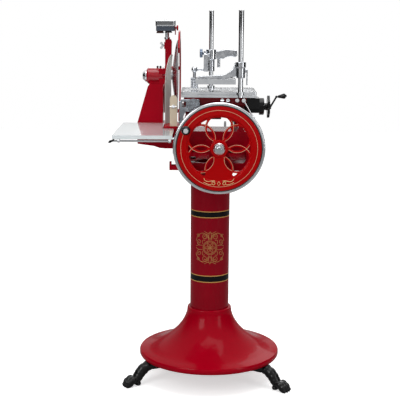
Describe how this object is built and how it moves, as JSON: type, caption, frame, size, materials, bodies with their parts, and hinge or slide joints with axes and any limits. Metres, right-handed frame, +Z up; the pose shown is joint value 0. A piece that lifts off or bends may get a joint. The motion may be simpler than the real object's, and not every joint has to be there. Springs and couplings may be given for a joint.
{
  "type": "deli meat slicer",
  "caption": "Hand-cranked flywheel meat slicer on a flared cast pedestal with paw feet: round blade, sliding carriage, screw-fed meat table, slice tray and sharpener.",
  "frame": {"origin": "on the floor, on the axis of the pedestal's column", "axes": "+X to the right as the operator faces the flywheel, +Y away from the operator, +Z up"},
  "size_m": [0.7025, 0.768, 1.472],
  "materials": {
    "red_enamel": "glossy stove enamel over cast iron",
    "dark_red_enamel": "glossy dark red enamel",
    "black_cast": "satin black enamel on cast iron",
    "chrome": "polished chrome plate",
    "steel": "ground steel, oiled",
    "stainless": "polished stainless sheet",
    "gear_steel": "machined steel, greased",
    "cast_grey": "grey machined casting",
    "bronze": "turned bronze",
    "white_enamel": "glossy white enamel on sheet",
    "ivory_enamel": "ivory enamel",
    "black_grip": "moulded black phenolic, polished",
    "stone_brown": "bonded abrasive, coarse",
    "stone_grey": "bonded abrasive, fine"
  },
  "bodies": {
    "stand": {"pedestal_bell": "red_enamel", "pedestal_column": "red_enamel", "foot_front_left": "black_cast", "foot_front_right": "black_cast", "foot_rear": "black_cast", "pedestal_bolts": "steel", "base_casting": "red_enamel", "blade_column": "red_enamel", "hub_housing": "red_enamel", "hub_end_cap": "chrome", "oil_cups": "black_cast", "shaft_bearings": "cast_grey", "shaft_bushes": "bronze", "drive_chain": "steel", "guide_rails": "chrome", "slice_tray": "white_enamel", "tray_rod": "chrome", "tray_catches": "black_cast", "guard_foot": "red_enamel", "slice_deflector": "stainless", "front_guard": "ivory_enamel", "guard_pin": "chrome", "blade_ring_guard": "red_enamel", "sharpener_post": "chrome"},
    "flywheel_assembly": {"flywheel": "red_enamel", "flywheel_tyre": "chrome", "flywheel_nut": "chrome", "main_shaft": "steel", "bevel_pinion": "gear_steel", "crank_pin": "chrome"},
    "crank_handle": {"crank_grip": "black_grip"},
    "cross_shaft_assembly": {"cross_shaft": "steel", "bevel_gear": "gear_steel", "crank_disc": "gear_steel"},
    "blade_assembly": {"blade": "stainless", "blade_shaft": "steel"},
    "rocker": {"rocker_arm": "steel"},
    "drive_rod": {"connecting_rod": "steel"},
    "carriage": {"carriage_frame": "dark_red_enamel", "carriage_bolts": "chrome", "guide_plate": "chrome", "feed_box": "black_cast", "index_bracket": "chrome"},
    "dial": {"thickness_dial": "chrome"},
    "lever": {"release_lever": "chrome"},
    "table": {"meat_table": "stainless", "clamp_posts": "chrome"},
    "feed": {"feed_screw": "steel", "feed_wheel": "black_cast"},
    "feed_handle": {"feed_grip": "black_grip"},
    "press": {"press_arm": "chrome", "press_plate": "white_enamel"},
    "clamp": {"clamp_bracket": "chrome"},
    "clamp_knob": {"star_grip": "black_grip"},
    "sharpener": {"sharpener_head": "cast_grey", "sharpener_cover": "chrome"},
    "grinder": {"grinding_stone": "stone_brown"},
    "honer": {"honing_stone": "stone_grey"},
    "sharpener_trigger": {"sharpener_lever": "red_enamel"},
    "wing": {"wing_screw": "chrome"}
  },
  "joints": [
    {"name": "flywheel_turn", "type": "hinge", "parent": "stand", "child": "flywheel_assembly", "pos_m": [0.029, -0.2, 0.963], "axis": [0, 1, 0], "continuous": true},
    {"name": "crank_grip_spin", "type": "hinge", "parent": "flywheel_assembly", "child": "crank_handle", "pos_m": [-0.09497, -0.27, 1.03545], "axis": [0, 1, 0], "continuous": true},
    {"name": "cross_shaft_turn", "type": "hinge", "parent": "stand", "child": "cross_shaft_assembly", "pos_m": [0, 0.28, 0.963], "axis": [1, 0, 0], "continuous": true},
    {"name": "blade_turn", "type": "hinge", "parent": "stand", "child": "blade_assembly", "pos_m": [-0.15, 0.28, 1.204], "axis": [1, 0, 0], "continuous": true},
    {"name": "carriage_slide", "type": "slide", "parent": "stand", "child": "carriage", "axis": [0, 1, 0], "range_m": [0, 0.2185]},
    {"name": "rocker_swing", "type": "hinge", "parent": "stand", "child": "rocker", "pos_m": [0.084, 0.115, 0.91533], "axis": [-1, 0, 0], "range_deg": [-0.5, 81]},
    {"name": "drive_rod_pivot", "type": "hinge", "parent": "rocker", "child": "drive_rod", "pos_m": [0.09, 0.075, 0.963], "axis": [-1, 0, 0], "range_deg": [-81, 0.5]},
    {"name": "thickness_dial_turn", "type": "hinge", "parent": "carriage", "child": "dial", "pos_m": [-0.069, -0.17, 1.118], "axis": [0, 1, 0], "range_deg": [0, 300]},
    {"name": "release_lever_swing", "type": "hinge", "parent": "carriage", "child": "lever", "pos_m": [0.121, -0.166, 1.138], "axis": [0, -1, 0], "range_deg": [0, 35]},
    {"name": "table_feed", "type": "slide", "parent": "carriage", "child": "table", "axis": [1, 0, 0], "range_m": [0, 0.085]},
    {"name": "feed_screw_turn", "type": "hinge", "parent": "carriage", "child": "feed", "pos_m": [0, -0.06, 1.107], "axis": [1, 0, 0], "range_deg": [-10, 5110]},
    {"name": "feed_grip_spin", "type": "hinge", "parent": "feed", "child": "feed_handle", "pos_m": [0.252, -0.06, 1.145], "axis": [0.9945, 0, 0.1045], "continuous": true},
    {"name": "press_slide", "type": "slide", "parent": "table", "child": "press", "axis": [0, 0, 1], "range_m": [-0.026, 0.16]},
    {"name": "clamp_slide", "type": "slide", "parent": "table", "child": "clamp", "axis": [0, 0, 1], "range_m": [-0.003, 0.14]},
    {"name": "clamp_knob_turn", "type": "hinge", "parent": "clamp", "child": "clamp_knob", "pos_m": [-0.034, 0.088, 1.304], "axis": [1, 0, 0], "range_deg": [-180, 180]},
    {"name": "sharpener_swing", "type": "hinge", "parent": "stand", "child": "sharpener", "pos_m": [-0.182, 0.274, 1.4], "axis": [0, 0, -1], "range_deg": [0, 90]},
    {"name": "grinding_spin", "type": "hinge", "parent": "sharpener", "child": "grinder", "pos_m": [-0.209, 0.222, 1.39], "axis": [0, 0, 1], "continuous": true},
    {"name": "honing_spin", "type": "hinge", "parent": "sharpener", "child": "honer", "pos_m": [-0.175, 0.222, 1.39], "axis": [0, 0, 1], "continuous": true},
    {"name": "sharpener_lever_swing", "type": "hinge", "parent": "sharpener", "child": "sharpener_trigger", "pos_m": [-0.149, 0.222, 1.403], "axis": [1, 0, 0], "range_deg": [0, 60]},
    {"name": "wing_screw_turn", "type": "hinge", "parent": "stand", "child": "wing", "pos_m": [-0.2, 0.274, 1.33], "axis": [1, 0, 0], "range_deg": [-180, 180]}
  ],
  "couplings": [
    {"joint": "cross_shaft_turn", "follows": "flywheel_turn", "ratio": -1},
    {"joint": "blade_turn", "follows": "flywheel_turn", "ratio": -2},
    {"joint": "rocker_swing", "follows": "carriage_slide", "rad_per_m": 6.3888},
    {"joint": "drive_rod_pivot", "follows": "carriage_slide", "rad_per_m": -6.3888},
    {"joint": "feed_screw_turn", "follows": "table_feed", "rad_per_m": 1047.2}
  ]
}
